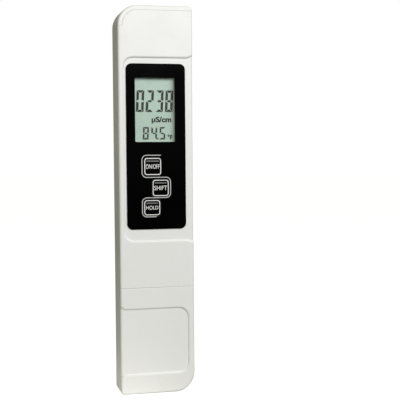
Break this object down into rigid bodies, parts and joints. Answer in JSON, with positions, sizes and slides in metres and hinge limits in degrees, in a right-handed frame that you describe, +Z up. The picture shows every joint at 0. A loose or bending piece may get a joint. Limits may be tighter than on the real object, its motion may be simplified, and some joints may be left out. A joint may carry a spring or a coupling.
{
  "type": "water quality test pen",
  "caption": "Pen-shaped water tester with display, three keys, pull-off cap over its probe, and a battery hood with pocket clip.",
  "frame": {"origin": "middle of the pen's box, clip included, on the surface that it stands on", "axes": "+Z up the pen towards the battery hood, the display faces -Y, +X to the reader's right"},
  "size_m": [0.03, 0.0174, 0.154],
  "materials": {
    "white_shell": "white ABS, satin moulded",
    "white_hood": "white ABS, satin moulded",
    "white_cap": "white ABS, satin moulded",
    "overlay": "black printed film",
    "key_film": "black printed film with pale key frames",
    "key_plastic": "white ABS",
    "clear_lens": "clear lens",
    "lcd": "grey-green liquid crystal display",
    "lcd_plastic": "pale moulded frame",
    "strip_rubber": "layered contact rubber",
    "board": "green solder mask",
    "chip_resin": "black resin",
    "crystal_can": "drawn can",
    "component": "dark moulded bodies",
    "screw_steel": "zinc plated steel",
    "switch_case": "black moulded case",
    "switch_stem": "red-brown moulded stem",
    "tray_plastic": "black moulded tray",
    "cell_can": "nickel plated can",
    "contact_metal": "nickel plated brass sheet",
    "probe_plastic": "white ABS",
    "seal_rubber": "soft black rubber",
    "electrode_metal": "turned titanium",
    "sensor_steel": "drawn stainless steel"
  },
  "bodies": {
    "root": {"front_shell": "white_shell", "back_shell": "white_shell", "overlay_film": "overlay", "display_lens": "clear_lens", "lcd_glass": "lcd", "lcd_frame": "lcd_plastic", "zebra_strips": "strip_rubber", "circuit_board": "board", "controller_blob": "chip_resin", "signal_amplifier": "chip_resin", "clock_crystal": "crystal_can", "resistors": "component", "filter_capacitors": "component", "board_screws": "screw_steel", "power_switch": "switch_case", "shift_switch": "switch_case", "hold_switch": "switch_case", "battery_tray": "tray_plastic", "left_cell": "cell_can", "right_cell": "cell_can", "contact_bridge": "contact_metal", "positive_contact": "contact_metal", "negative_contact": "contact_metal", "probe_housing": "probe_plastic", "neck_seal": "seal_rubber", "left_electrode": "electrode_metal", "right_electrode": "electrode_metal", "temperature_sensor": "sensor_steel"},
    "cap": {"protective_cap": "white_cap"},
    "hood": {"battery_hood": "white_hood"},
    "power_key": {"power_pad": "key_film", "power_plunger": "key_plastic", "power_stem": "switch_stem"},
    "shift_key": {"shift_pad": "key_film", "shift_plunger": "key_plastic", "shift_stem": "switch_stem"},
    "hold_key": {"hold_pad": "key_film", "hold_plunger": "key_plastic", "hold_stem": "switch_stem"}
  },
  "joints": [
    {"name": "cap_pull", "type": "slide", "parent": "root", "child": "cap", "axis": [0, 0, -1], "range_m": [0, 0.045]},
    {"name": "hood_pull", "type": "slide", "parent": "root", "child": "hood", "axis": [0, 0, 1], "range_m": [0, 0.02]},
    {"name": "power_press", "type": "slide", "parent": "root", "child": "power_key", "axis": [0, 1, 0], "range_m": [0, 0.00025], "stiffness_N_per_m": 4000},
    {"name": "shift_press", "type": "slide", "parent": "root", "child": "shift_key", "axis": [0, 1, 0], "range_m": [0, 0.00025], "stiffness_N_per_m": 4000},
    {"name": "hold_press", "type": "slide", "parent": "root", "child": "hold_key", "axis": [0, 1, 0], "range_m": [0, 0.00025], "stiffness_N_per_m": 4000}
  ]
}
